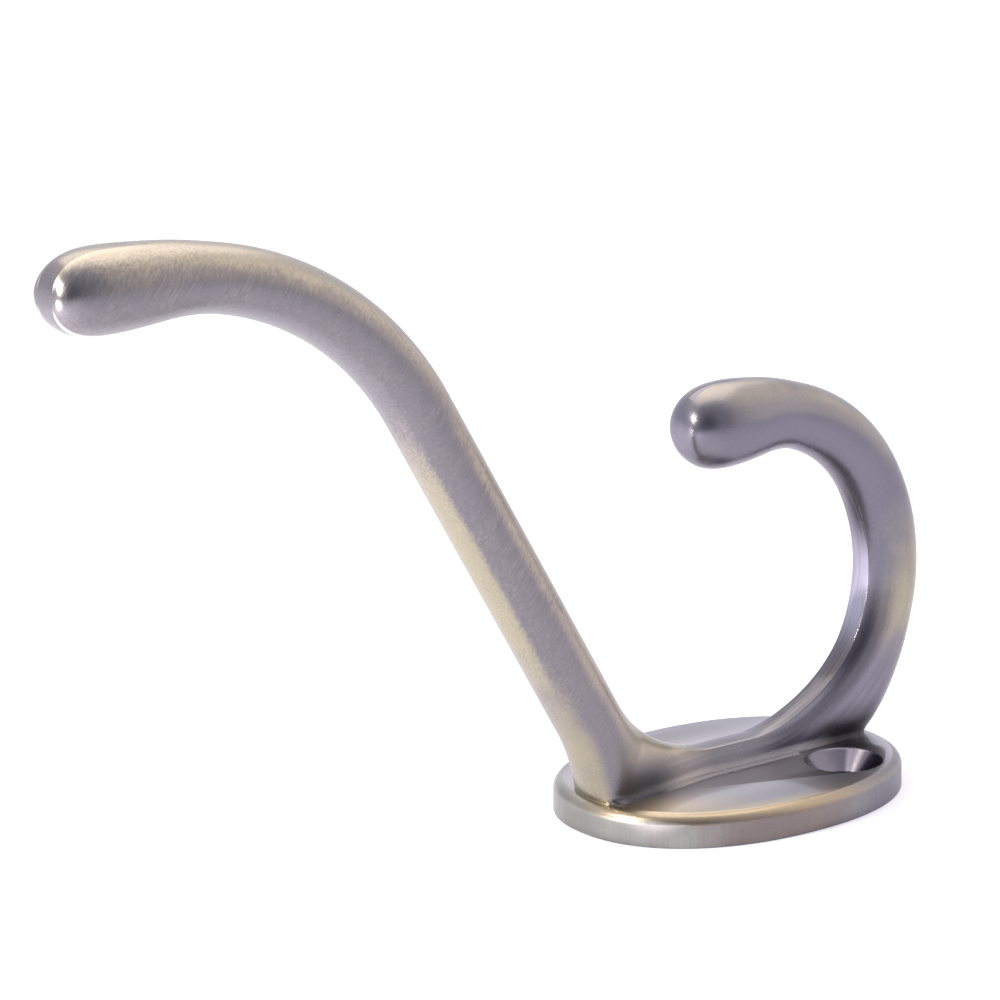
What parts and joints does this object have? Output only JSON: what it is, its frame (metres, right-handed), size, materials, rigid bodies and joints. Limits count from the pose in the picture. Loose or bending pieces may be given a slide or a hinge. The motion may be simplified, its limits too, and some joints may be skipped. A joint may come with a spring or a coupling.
{
  "type": "coat hook",
  "caption": "One-piece metal wall hook: a long slanting upper arm and a small curled lower hook on an oval plate with countersunk screw holes.",
  "frame": {"origin": "centre of the oval wall plate, on its flat back face", "axes": "+Z out of the wall; -X along the plate towards the long upper arm, up once hung; both arms lie in the plane Y = 0"},
  "size_m": [0.1094, 0.0304, 0.0721],
  "materials": {
    "antique_brass": "satin plated die casting with a polished plate face"
  },
  "bodies": {
    "root": {"hook_casting": "antique_brass"}
  },
  "joints": []
}
